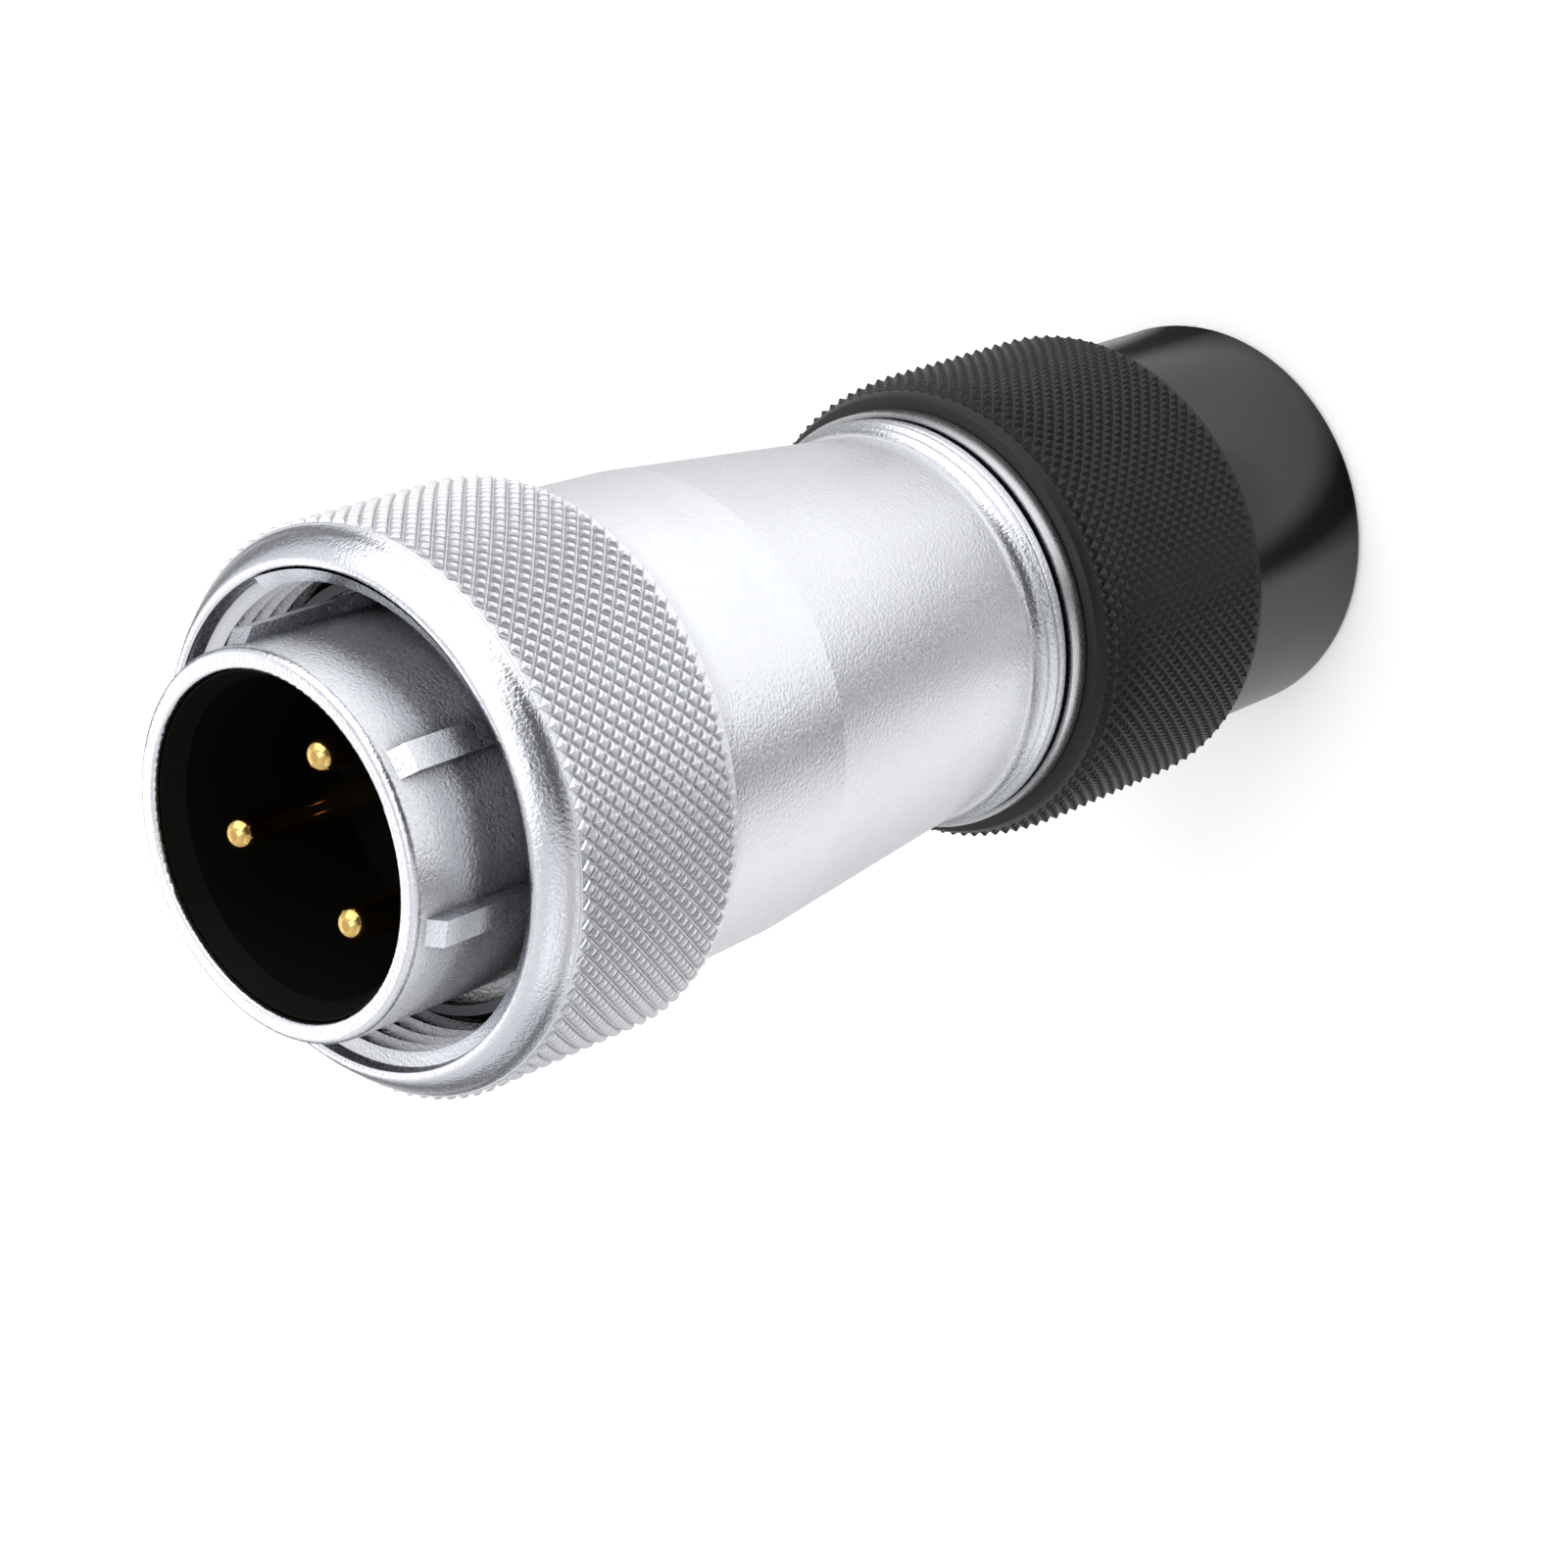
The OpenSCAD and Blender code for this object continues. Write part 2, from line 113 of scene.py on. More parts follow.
class Wires:
    """Short ways to add shader nodes to a tree."""

    def __init__(self, tree: bpy.types.NodeTree) -> None:
        """Takes the tree.

        Args:
            tree: The node tree to work in.
        """
        self.nodes, self.links = tree.nodes, tree.links

    def feed(self, value: object, socket: bpy.types.NodeSocket) -> None:
        """Links a socket to another one, or sets its value.

        Args:
            value: An output socket, a number or a tuple.
            socket: The input socket.
        """
        if isinstance(value, bpy.types.NodeSocket):
            self.links.new(value, socket)
        else:
            socket.default_value = value

    def number(self, operation: str, *values: object) -> bpy.types.NodeSocket:
        """Adds a math node.

        Args:
            operation: The node's operation.
            values: Its inputs, in order.

        Returns:
            The output socket.
        """
        node = self.nodes.new("ShaderNodeMath")
        node.operation = operation
        for value, socket in zip(values, node.inputs):
            self.feed(value, socket)
        return node.outputs["Value"]

    def vector(self, operation: str, *values: object) -> bpy.types.NodeSocket:
        """Adds a vector math node.

        Args:
            operation: The node's operation.
            values: Its vectors, in order.

        Returns:
            The output socket, a number for a length or a dot product.
        """
        node = self.nodes.new("ShaderNodeVectorMath")
        node.operation = operation
        for value, socket in zip(values, node.inputs):
            self.feed(value, socket)
        return node.outputs["Value" if operation in ("LENGTH", "DOT_PRODUCT") else "Vector"]

    def scale(self, vector: bpy.types.NodeSocket, factor: object) -> bpy.types.NodeSocket:
        """Multiplies a vector or colour by a number.

        Args:
            vector: The vector or colour.
            factor: The number.

        Returns:
            The output socket.
        """
        node = self.nodes.new("ShaderNodeVectorMath")
        node.operation = "SCALE"
        self.feed(vector, node.inputs[0])
        self.feed(factor, node.inputs["Scale"])
        return node.outputs["Vector"]

    def remap(
        self, value: bpy.types.NodeSocket, span: tuple[float, float], low: object, high: object
    ) -> bpy.types.NodeSocket:
        """Maps a span of values to another one and clamps it.

        Args:
            value: The value.
            span: The values that become low and high.
            low: The lowest result.
            high: The highest result.

        Returns:
            The output socket.
        """
        node = self.nodes.new("ShaderNodeMapRange")
        self.feed(value, node.inputs["Value"])
        node.inputs["From Min"].default_value, node.inputs["From Max"].default_value = span
        self.feed(low, node.inputs["To Min"])
        self.feed(high, node.inputs["To Max"])
        return node.outputs["Result"]

    def ramp(
        self, value: bpy.types.NodeSocket, tones: tuple[tuple[float, float], ...], tint: tuple[float, float, float]
    ) -> bpy.types.NodeSocket:
        """Turns a value into a tone with a colour ramp.

        Args:
            value: The value.
            tones: Place and level of each stop.
            tint: Factors of red, green and blue.

        Returns:
            The output socket.
        """
        node = self.nodes.new("ShaderNodeValToRGB")
        stops = node.color_ramp.elements
        for at, level in tones:
            stops.new(at).color = (*(level * share for share in tint), 1.0)
        for end in (0, -1):
            stops[end].color = (*[tones[end][1]] * 3, 1.0)
        self.feed(value, node.inputs["Fac"])
        return node.outputs["Color"]


@dataclass(frozen=True)
class Grain:
    """Fine surface texture of a finish.

    Attributes:
        scale: Noise scale in cells per metre.
        low: Roughness in the smoothest spots.
        high: Roughness in the roughest spots.
        bump: Strength of the bump.
        distance: Height of the bump in metres.
    """

    scale: float
    low: float
    high: float
    bump: float
    distance: float


@dataclass(frozen=True)
class Finish:
    """One surface finish.

    Attributes:
        slot: The record's material slot.
        color: Linear base colour.
        metallic: Metallic value of the shader.
        grain: Fine texture of the surface.
        coat: Weight of the clear coat.
        specular: Specular level of the shader.
        painted_hollow_shade: How strongly painted shade darkens the colour in hollows.
        coat_roughness: Roughness of the clear coat.
    """

    slot: str
    color: tuple[float, float, float]
    metallic: float
    grain: Grain
    coat: float = 0.0
    specular: float = 0.5
    painted_hollow_shade: float = 1.5
    coat_roughness: float = 0.08

    def material(self, group: bpy.types.NodeTree) -> bpy.types.Material:
        """Makes the material.

        Args:
            group: The shared node group of grain and painted shade.

        Returns:
            The new material.
        """
        mat = bpy.data.materials.new(self.slot)
        mat.use_nodes = True
        wires = Wires(mat.node_tree)
        shader = wires.nodes["Principled BSDF"]
        shader.inputs["Metallic"].default_value = self.metallic
        shader.inputs["Coat Weight"].default_value = self.coat
        shader.inputs["Coat Roughness"].default_value = self.coat_roughness
        shader.inputs["Specular IOR Level"].default_value = self.specular
        grain = wires.nodes.new("ShaderNodeGroup")
        grain.node_tree = group
        grain.inputs["Color"].default_value = (*self.color, 1.0)
        grain.inputs["Scale"].default_value = self.grain.scale
        grain.inputs["Low"].default_value = self.grain.low
        grain.inputs["High"].default_value = self.grain.high
        grain.inputs["Painted_Shade"].default_value = self.painted_hollow_shade
        bump = wires.nodes.new("ShaderNodeBump")
        bump.inputs["Strength"].default_value = self.grain.bump
        bump.inputs["Distance"].default_value = self.grain.distance
        wires.feed(grain.outputs["Color"], shader.inputs["Base Color"])
        wires.feed(grain.outputs["Roughness"], shader.inputs["Roughness"])
        wires.feed(grain.outputs["Height"], bump.inputs["Height"])
        wires.feed(bump.outputs["Normal"], shader.inputs["Normal"])
        return mat


class Finishes:
    """The set of finishes, one for each material slot and one for the silver knurl.

    Attributes:
        CAST: Grain of the cast and tumbled shells.
        CUT: Grain of the silver knurl.
        FINE: Grain of the turned metal parts.
        MOULDED: Grain of the moulded and rubber parts.
        ALL: Every finish.
        FINE_DETAIL: Detail of the fine noise.
        BROAD_DETAIL: Detail of the broad tint.
        BROAD_SCALE: Scale of the broad tint in cells per metre.
        PAINTED_SHADE_REACH: Reach of the painted shade in hollows, in metres.
        PAINTED_SHADE_SAMPLES: Rays that find the hollows for the painted shade.
        GRAIN_SPAN: Values of the fine noise between which the roughness changes.
        TINT_SPAN: Values of the broad noise between which the tint changes.
        TINT: Darkest and lightest tint.
    """

    FINE_DETAIL = 3.0
    BROAD_DETAIL = 4.0
    BROAD_SCALE = 160.0
    PAINTED_SHADE_REACH = 0.003
    PAINTED_SHADE_SAMPLES = 6
    GRAIN_SPAN = (0.3, 0.7)
    TINT_SPAN = (0.35, 0.65)
    TINT = (0.97, 1.0)
    CAST = Grain(4200.0, 0.16, 0.28, 0.80, 0.00005)
    CUT = Grain(4200.0, 0.34, 0.46, 0.50, 0.00004)
    FINE = Grain(5200.0, 0.20, 0.30, 0.10, 0.00003)
    MOULDED = Grain(3000.0, 0.45, 0.62, 0.15, 0.00004)
    ALL = (
        Finish("satin_nickel", (0.84, 0.85, 0.885), 1.0, CAST),
        Finish("satin_nickel_knurled", (0.96, 0.97, 0.985), 1.0, CUT, painted_hollow_shade=0.55),
        Finish("white_zinc", (0.86, 0.87, 0.88), 1.0, FINE),
        Finish("inner_steel", (0.55, 0.56, 0.57), 1.0, FINE),
        Finish("lock_brass", (0.66, 0.55, 0.32), 1.0, FINE),
        Finish("gold_contact", (0.80, 0.53, 0.18), 1.0, Grain(4000.0, 0.08, 0.16, 0.04, 0.00002)),
        Finish("insert_black", (0.006, 0.0055, 0.0045), 0.0, MOULDED, specular=0.05, painted_hollow_shade=0.0),
        Finish("seal_rubber", (0.015, 0.015, 0.015), 0.0, MOULDED, specular=0.3),
        Finish("gasket_grey", (0.30, 0.31, 0.33), 0.0, MOULDED),
        Finish("black_matte", (0.008, 0.008, 0.008), 0.0, Grain(3500.0, 0.34, 0.50, 0.12, 0.00003), specular=0.4),
        Finish("black_gloss", (0.006, 0.006, 0.008), 0.0, Grain(1800.0, 0.16, 0.24, 0.05, 0.00003), 0.3, 0.4),
    )

    def __init__(self) -> None:
        """Makes every material from its finish."""
        group = self.grain_and_shade_group()
        self.materials = {f.slot: f.material(group) for f in self.ALL}

    @staticmethod
    def grain_and_shade_group() -> bpy.types.NodeTree:
        """Makes the node group that gives colour, roughness and height from noise, with painted shade darkening the
        colour in hollows.

        Returns:
            The node group.
        """
        tree = bpy.data.node_groups.new("grain_and_painted_shade", "ShaderNodeTree")
        face = tree.interface
        face.new_socket("Color", in_out="INPUT", socket_type="NodeSocketColor")
        for name in ("Scale", "Low", "High", "Painted_Shade"):
            face.new_socket(name, in_out="INPUT", socket_type="NodeSocketFloat")
        face.new_socket("Color", in_out="OUTPUT", socket_type="NodeSocketColor")
        for name in ("Roughness", "Height"):
            face.new_socket(name, in_out="OUTPUT", socket_type="NodeSocketFloat")
        wires = Wires(tree)
        given, made = wires.nodes.new("NodeGroupInput"), wires.nodes.new("NodeGroupOutput")
        place = wires.nodes.new("ShaderNodeTexCoord").outputs["Object"]
        fine, broad = (wires.nodes.new("ShaderNodeTexNoise") for _ in range(2))
        for noise, scale, detail in (
            (fine, given.outputs["Scale"], Finishes.FINE_DETAIL),
            (broad, Finishes.BROAD_SCALE, Finishes.BROAD_DETAIL),
        ):
            wires.feed(place, noise.inputs["Vector"])
            wires.feed(scale, noise.inputs["Scale"])
            wires.feed(detail, noise.inputs["Detail"])
        # Painted shade: ambient occlusion darkens the base colour in hollows, pits and gaps between parts.
        painted_shade_node = wires.nodes.new("ShaderNodeAmbientOcclusion")
        painted_shade_node.samples = Finishes.PAINTED_SHADE_SAMPLES
        painted_shade_node.inputs["Distance"].default_value = Finishes.PAINTED_SHADE_REACH
        hollow_shade = wires.number("POWER", painted_shade_node.outputs["AO"], given.outputs["Painted_Shade"])
        tint = wires.remap(broad.outputs["Fac"], Finishes.TINT_SPAN, *Finishes.TINT)
        shaded = wires.scale(given.outputs["Color"], wires.number("MULTIPLY", tint, hollow_shade))
        rough = wires.remap(fine.outputs["Fac"], Finishes.GRAIN_SPAN, given.outputs["Low"], given.outputs["High"])
        wires.feed(shaded, made.inputs["Color"])
        wires.feed(rough, made.inputs["Roughness"])
        wires.feed(fine.outputs["Fac"], made.inputs["Height"])
        return tree

    def dress(self, piece: bpy.types.Object, slot: str) -> None:
        """Gives a piece the finish of a slot.

        Args:
            piece: The piece to dress.
            slot: The material slot's name.
        """
        piece.data.materials.clear()
        piece.data.materials.append(self.materials[slot])

    def dress_frame(self, frame: dict) -> None:
        """Gives each CAD node the finish of its slot.
        """
        for part in frame["record"]["subparts"]:
            self.dress(frame["nodes"][part["node"]], part["material_slot"])


class Bench:
    """Modelling steps that the sub-assemblies share.

    Attributes:
        ROUND: Corners of a turned piece.
        THREAD_STEPS: Steps of one turn of a thread.
    """

    ROUND = 192
    THREAD_STEPS = 128

    @staticmethod
    def clear() -> None:
        """Leaves edit mode and deselects everything."""
        if bpy.context.mode != "OBJECT":
            bpy.ops.object.mode_set(mode="OBJECT")
        bpy.ops.object.select_all(action="DESELECT")

    @staticmethod
    def finish(piece: bpy.types.Object, name: str, shade: Shade) -> bpy.types.Object:
        """Names and shades a piece and puts its place into the mesh.

        Args:
            piece: The piece, which is the active object.
            name: Its name.
            shade: How it is shaded.

        Returns:
            The same piece.
        """
        Bench.clear()
        piece.select_set(True)
        bpy.context.view_layer.objects.active = piece
        bpy.ops.object.transform_apply(location=True, rotation=True, scale=True)
        if shade is Shade.FLAT:
            bpy.ops.object.shade_flat()
        else:
            bpy.ops.object.shade_smooth_by_angle(angle=math.radians(shade.value))
        piece.name = piece.data.name = name
        Bench.clear()
        LOG.info("%s: %d faces", name, len(piece.data.polygons))
        return piece

    @staticmethod
    def ends(node: str) -> tuple[float, float]:
        """Reads where a CAD node starts and ends along Z.

        Args:
            node: Name of the node.

        Returns:
            Its lower and upper end in millimetres.
        """
        low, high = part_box(node)
        return round(low.z / MM, 3), round(high.z / MM, 3)

    @staticmethod
    def edge(r: float, z: float, offsets: tuple[tuple[float, float], ...]) -> list[tuple[float, float]]:
        """Places the corners of a rounded edge.

        Args:
            r: Radius that the offsets start from, in millimetres.
            z: Height that the offsets start from, in millimetres.
            offsets: Radius and height of each corner from there.

        Returns:
            The corners of a profile.
        """
        return [(r + across, z + along) for across, along in offsets]

    @staticmethod
    def lift(dz: float, factor: float = 1.0) -> None:
        """Extrudes the selected ring along Z and scales it about the axis.

        Args:
            dz: Move along Z in metres.
            factor: Scale of the ring's radius.
        """
        bpy.ops.mesh.extrude_region_move(TRANSFORM_OT_translate={"value": (0.0, 0.0, dz)})
        if factor != 1.0:
            bpy.ops.transform.resize(value=(factor, factor, 1.0), center_override=(0.0, 0.0, 0.0))

    @staticmethod
    def lathe(name: str, profile: list[tuple[float, float]]) -> bpy.types.Object:
        """Turns a closed profile round Z by extruding a ring from point to point.

        Args:
            name: Name of the piece.
            profile: Radius and height of each corner, in millimetres.

        Returns:
            The new piece.
        """
        Bench.clear()
        radius, height = profile[0]
        bpy.ops.mesh.primitive_circle_add(vertices=Bench.ROUND, radius=radius * MM, location=(0, 0, height * MM))
        piece = bpy.context.object
        bpy.ops.object.mode_set(mode="EDIT")
        for r, z in profile[1:]:
            Bench.lift((z - height) * MM, r / radius)
            radius, height = r, z
        bpy.ops.mesh.select_all(action="DESELECT")
        bpy.ops.mesh.select_mode(type="EDGE")
        bpy.ops.mesh.select_non_manifold()
        bpy.ops.mesh.bridge_edge_loops()
        bpy.ops.mesh.select_all(action="SELECT")
        bpy.ops.mesh.normals_make_consistent(inside=False)
        return Bench.finish(piece, name, Shade.TURNED)

    @staticmethod
    def thread(
        name: str, root_r: float, depth: float, width: float, pitch: float, z0: float, turns: int
    ) -> bpy.types.Object:
        """Winds one V ridge round Z with a screw modifier.

        The ridge is a triangle. One of radius 1 is 1.5 high and the root of 3 wide, and its
        centre lies a third of its height over its foot.

        Args:
            name: Name of the piece.
            root_r: Radius of the ridge's foot, in millimetres.
            depth: Height of the ridge towards the axis, in millimetres.
            width: Width of the ridge's foot, in millimetres.
            pitch: Rise of one turn, in millimetres.
            z0: Height where the ridge starts, in millimetres.
            turns: Number of turns.

        Returns:
            The new piece.
        """
        Bench.clear()
        centre = root_r - depth / 3
        bpy.ops.mesh.primitive_circle_add(
            vertices=3, radius=1.0, location=(centre * MM, 0, z0 * MM), rotation=(math.pi / 2, -math.pi / 2, 0)
        )
        piece = bpy.context.object
        bpy.ops.object.transform_apply(location=False, rotation=True, scale=False)
        piece.scale = (depth / 1.5 * MM, 1.0, width / math.sqrt(3) * MM)
        bpy.ops.object.transform_apply(location=True, rotation=False, scale=True)
        bpy.ops.object.modifier_add(type="SCREW")
        screw = piece.modifiers[-1]
        screw.axis, screw.screw_offset, screw.iterations = "Z", pitch * MM, turns
        screw.steps = screw.render_steps = Bench.THREAD_STEPS
        bpy.ops.object.modifier_apply(modifier=screw.name)
        bpy.ops.object.mode_set(mode="EDIT")
        bpy.ops.mesh.select_all(action="SELECT")
        bpy.ops.mesh.fill_holes(sides=3)
        bpy.ops.mesh.select_all(action="SELECT")
        bpy.ops.mesh.normals_make_consistent(inside=False)
        return Bench.finish(piece, name, Shade.TURNED)


@dataclass
class Knurl:
    """A diamond knurl round a nut.

    Attributes:
        BEAD: Steps of a rounded bead: share of the slope, share of the height.
        PEAK: Steps of a peak, in the same form.
        TIP: Share of the height that the tip of a peak takes.
        FLATTEN: Share of the quarter ellipse that the narrowing end follows.
        CLOSE: Tolerance of a height in metres.
        name: Name of the piece.
        radius: Radius of the cylinder that the diamonds lie on, in millimetres.
        core: Radius where the end faces stop, in millimetres.
        bottom: Lower end, in millimetres.
        top: Upper end, in millimetres.
        count: Diamonds round the nut.
        rows: Diamonds along the nut.
        style: How each diamond is finished.
        rib: Width of the flat that is left beside each diamond, in millimetres.
        slope: Width of the sloping side, in millimetres.
        depth: Height of each diamond, in millimetres.
        nose: How much the top end narrows, in millimetres.
        nose_rows: Rows over which the top end narrows.
    """

    BEAD: ClassVar[tuple[tuple[float, float], ...]] = ((0.30, 0.60), (0.35, 0.30), (0.35, 0.10))
    PEAK: ClassVar[tuple[tuple[float, float], ...]] = ((1.0, 0.80),)
    TIP: ClassVar[float] = 0.2
    FLATTEN: ClassVar[float] = 0.95
    CLOSE: ClassVar[float] = 1e-6

    name: str
    radius: float
    core: float
    bottom: float
    top: float
    count: int
    rows: int
    style: KnurlStyle
    rib: float
    slope: float
    depth: float
    nose: float = 0.0
    nose_rows: int = 1

    def ring(self, row: int) -> float:
        """Radius of a ring of corners.

        Args:
            row: Number of the ring, counted from the bottom.

        Returns:
            The radius in millimetres.
        """
        share = max(0.0, (row - self.rows) / self.nose_rows + 1.0)
        return self.radius - self.nose * (1.0 - math.sqrt(1.0 - self.FLATTEN * share**2))

    def grid(self) -> bpy.types.Object:
        """Makes a ring of upright quads.

        Returns:
            The piece, in edit mode.
        """
        Bench.clear()
        bpy.ops.mesh.primitive_circle_add(
            vertices=self.count, radius=self.radius * MM, location=(0, 0, self.bottom * MM)
        )
        piece = bpy.context.object
        bpy.ops.object.mode_set(mode="EDIT")
        for row in range(self.rows):
            Bench.lift((self.top - self.bottom) / self.rows * MM, self.ring(row + 1) / self.ring(row))
        bpy.ops.mesh.select_all(action="SELECT")
        bpy.ops.mesh.normals_make_consistent(inside=False)
        return piece

    def diamonds(self, piece: bpy.types.Object) -> None:
        """Turns the quads into diamonds: pokes them and dissolves the first edges but the end rings.

        Args:
            piece: The ring of quads, in edit mode.
        """
        bpy.ops.mesh.mark_seam(clear=False)
        bpy.ops.mesh.poke(offset=0.0)
        bpy.ops.mesh.select_all(action="DESELECT")
        bpy.ops.mesh.select_mode(type="EDGE")
        bpy.ops.object.mode_set(mode="OBJECT")
        points = piece.data.vertices
        ends = (self.bottom * MM, self.top * MM)
        for edge in piece.data.edges:
            heights = [points[i].co.z + piece.location.z for i in edge.vertices]
            at_end = any(all(abs(h - end) < self.CLOSE for h in heights) for end in ends)
            edge.select = edge.use_seam and not at_end
        bpy.ops.object.mode_set(mode="EDIT")
        bpy.ops.mesh.dissolve_edges(use_verts=False)

    def carve(self) -> None:
        """Raises a rounded bead or a peak on each diamond."""
        bpy.ops.mesh.select_mode(type="FACE")
        bpy.ops.mesh.select_all(action="DESELECT")
        bpy.ops.mesh.select_face_by_sides(number=4)
        bpy.ops.mesh.inset(thickness=self.rib * MM, depth=0.0, use_individual=True)
        steps = self.BEAD if self.style is KnurlStyle.BEADED else self.PEAK
        for share, rise in steps:
            bpy.ops.mesh.inset(thickness=self.slope * share * MM, depth=self.depth * rise * MM, use_individual=True)
        if self.style is KnurlStyle.PEAKED:
            bpy.ops.mesh.poke(offset=self.depth * self.TIP * MM)

    def close_ends(self) -> None:
        """Draws both end rings in to the core."""
        bpy.ops.mesh.select_all(action="DESELECT")
        bpy.ops.mesh.select_mode(type="EDGE")
        bpy.ops.mesh.select_non_manifold()
        Bench.lift(0.0, self.core / self.radius)

    def build(self) -> bpy.types.Object:
        """Builds the knurl.

        Returns:
            The new piece.
        """
        piece = self.grid()
        self.diamonds(piece)
        self.carve()
        self.close_ends()
        return Bench.finish(piece, self.name, Shade.FLAT)


@dataclass
class CouplingNut:
    """The silver coupling nut.

    Attributes:
        ROOT_EDGE: Inner edge of the front face, from the thread's root and the front face.
        CONE_TOP: Front edge of the cone, from its small end.
        CONE_FOOT: Rear edge of the cone, from its large end.
        back: Height of the rear face, in millimetres.
        front: Height of the front face, in millimetres.
        radius: Outer radius over the knurl, in millimetres.
        core: Radius of the body under the knurl, in millimetres.
        land: Radius of the smooth ends, in millimetres.
        shoulder: Radius where the knurl starts behind the cone, in millimetres.
        cone: Length of the front cone, in millimetres.
        neck: Length from the cone to the shoulder, in millimetres.
        step: Length of the shoulder, in millimetres.
        chamfer: Chamfer of the outer rear edge, in millimetres.
        bevel: Chamfer of the inner rear edge, in millimetres.
        knurl_back: Length from the rear face to the knurl, in millimetres.
        knurl_front: Length from the front face to the knurl, in millimetres.
        sink: How far the knurl's diamonds start under the outer radius, in millimetres.
        tuck: How far the knurl's ends reach into the body, in millimetres.
        overlap: How far the thread's foot reaches into the body, in millimetres.
        thread_minor: Radius of the thread's crests, in millimetres.
        thread_major: Radius of the thread's roots, in millimetres.
        thread_width: Width of the thread's foot, in millimetres.
        pitch: Pitch of the thread, in millimetres.
        lead: Length from the front face to the thread, in millimetres.
        relief: Length that the thread keeps from the front face and the lip, in millimetres.
        lip_depth: Depth of the inner lip under the front face, in millimetres.
        lip: Length of the inner lip, in millimetres.
        lip_bore: Radius of the lip's bore, in millimetres.
        skirt_bore: Radius of the rear skirt's bore, in millimetres.
    """

    ROOT_EDGE: ClassVar[tuple[tuple[float, float], ...]] = ((0.0, -0.75), (0.15, -0.35), (0.20, -0.10), (0.32, -0.02))
    CONE_TOP: ClassVar[tuple[tuple[float, float], ...]] = ((0.0, 0.0), (0.25, -0.08))
    CONE_FOOT: ClassVar[tuple[tuple[float, float], ...]] = ((-0.62, 0.72), (-0.25, 0.22), (-0.08, -0.02), (0.0, -0.25))

    back: float
    front: float
    radius: float = 19.3
    core: float = 18.55
    land: float = 18.62
    shoulder: float = 19.0
    cone: float = 1.6
    neck: float = 0.62
    step: float = 0.4
    chamfer: float = 0.1
    bevel: float = 0.2
    knurl_back: float = 0.12
    knurl_front: float = 2.1
    sink: float = 0.36
    tuck: float = 0.15
    overlap: float = 0.05
    thread_minor: float = 15.6
    thread_major: float = 16.45
    thread_width: float = 1.05
    pitch: float = 1.5
    lead: float = 0.45
    relief: float = 1.2
    lip_depth: float = 10.6
    lip: float = 2.2
    lip_bore: float = 14.3
    skirt_bore: float = 17.1

    def body(self) -> bpy.types.Object:
        """Turns the nut's body with rounded lands, bores and inner lip.

        Returns:
            The new piece.
        """
        lip_front = self.front - self.lip_depth
        lip_back = lip_front - self.lip
        knurl_front = self.front - self.cone - self.neck
        profile = [
            (self.thread_major, lip_front),
            *Bench.edge(self.thread_major, self.front, self.ROOT_EDGE),
            *Bench.edge(self.land - self.cone, self.front, self.CONE_TOP),
            *Bench.edge(self.land, self.front - self.cone, self.CONE_FOOT),
            (self.shoulder, knurl_front),
            (self.shoulder, knurl_front - self.step),
            (self.core, knurl_front - self.step - self.chamfer),
            (self.core, self.back + self.chamfer),
            (self.land, self.back + self.chamfer),
            (self.land - self.chamfer, self.back),
            (self.skirt_bore + self.bevel, self.back),
            (self.skirt_bore, self.back + self.bevel),
            (self.skirt_bore, lip_back),
            (self.lip_bore, lip_back),
            (self.lip_bore, lip_front),
        ]
        return Bench.lathe("coupling_nut_body", profile)

    def knurl(self) -> Knurl:
        """Sets out the beaded knurl.

        Returns:
            The knurl.
        """
        return Knurl(
            name="coupling_nut_knurl",
            radius=self.radius - self.sink,
            core=self.core - self.tuck,
            bottom=self.back + self.knurl_back,
            top=self.front - self.knurl_front,
            count=92,
            rows=11,
            style=KnurlStyle.BEADED,
            rib=0.05,
            slope=0.34,
            depth=0.34,
        )

    def thread(self) -> bpy.types.Object:
        """Winds the inner thread.

        Returns:
            The new piece.
        """
        turns = int((self.lip_depth - self.relief) / self.pitch)
        return Bench.thread(
            name="coupling_nut_thread",
            root_r=self.thread_major + self.overlap,
            depth=self.thread_major - self.thread_minor + self.overlap,
            width=self.thread_width,
            pitch=self.pitch,
            z0=self.front - self.lead - turns * self.pitch,
            turns=turns,
        )

    def build(self, finishes: Finishes) -> None:
        """Builds, dresses and mounts the nut.

        Args:
            finishes: The finishes.
        """
        thread, body = self.thread(), self.body()
        knurl = self.knurl().build()
        for piece, finish in ((body, "satin_nickel"), (knurl, "satin_nickel_knurled"), (thread, "satin_nickel")):
            finishes.dress(piece, finish)
            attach(piece, "coupling_nut")
        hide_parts("coupling_nut")


